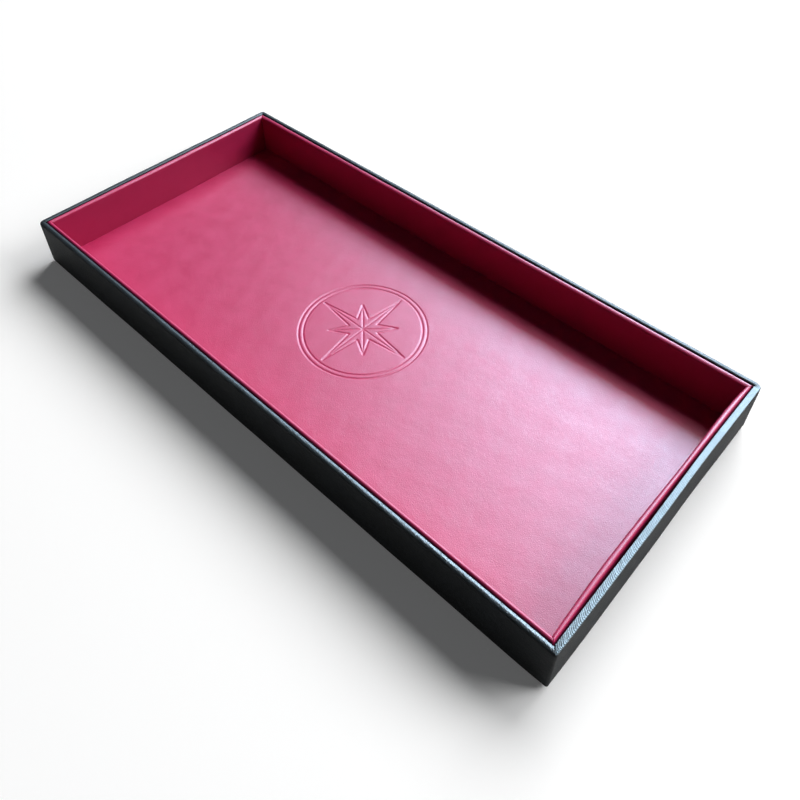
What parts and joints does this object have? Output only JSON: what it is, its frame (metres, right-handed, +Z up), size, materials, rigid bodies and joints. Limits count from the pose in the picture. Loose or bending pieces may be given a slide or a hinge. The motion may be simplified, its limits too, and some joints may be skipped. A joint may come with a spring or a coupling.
{
  "type": "dice tray",
  "caption": "Shallow open rectangular board tray, wrapped outside in black leatherette and lined with red leatherette, for rolling dice or holding small pieces.",
  "frame": {"origin": "centre of the underside, on the surface that the tray stands on", "axes": "+X along the tray's length, +Y across its width, +Z up, out of the open top"},
  "size_m": [0.27, 0.126, 0.0224],
  "materials": {
    "black_leatherette": "fine pebble grain, satin",
    "base_sheet": "fine grain, matt",
    "red_leatherette": "fine grain, satin",
    "red_floor_leatherette": "fine grain, satin, blind tooled",
    "greyboard": "uncoated",
    "liner_card": "uncoated",
    "stay_paper": "gummed kraft paper"
  },
  "bodies": {
    "root": {"base_sheet": "base_sheet", "base_board": "greyboard", "wall_board_front": "greyboard", "wall_board_back": "greyboard", "wall_board_left": "greyboard", "wall_board_right": "greyboard", "corner_stay_front_left": "stay_paper", "corner_stay_front_right": "stay_paper", "corner_stay_back_left": "stay_paper", "corner_stay_back_right": "stay_paper", "outer_wrap": "black_leatherette", "floor_skin": "red_floor_leatherette", "liner_card_front": "liner_card", "liner_card_back": "liner_card", "liner_card_left": "liner_card", "liner_card_right": "liner_card", "liner_skin_front": "red_leatherette", "liner_skin_back": "red_leatherette", "liner_skin_left": "red_leatherette", "liner_skin_right": "red_leatherette"}
  },
  "joints": []
}
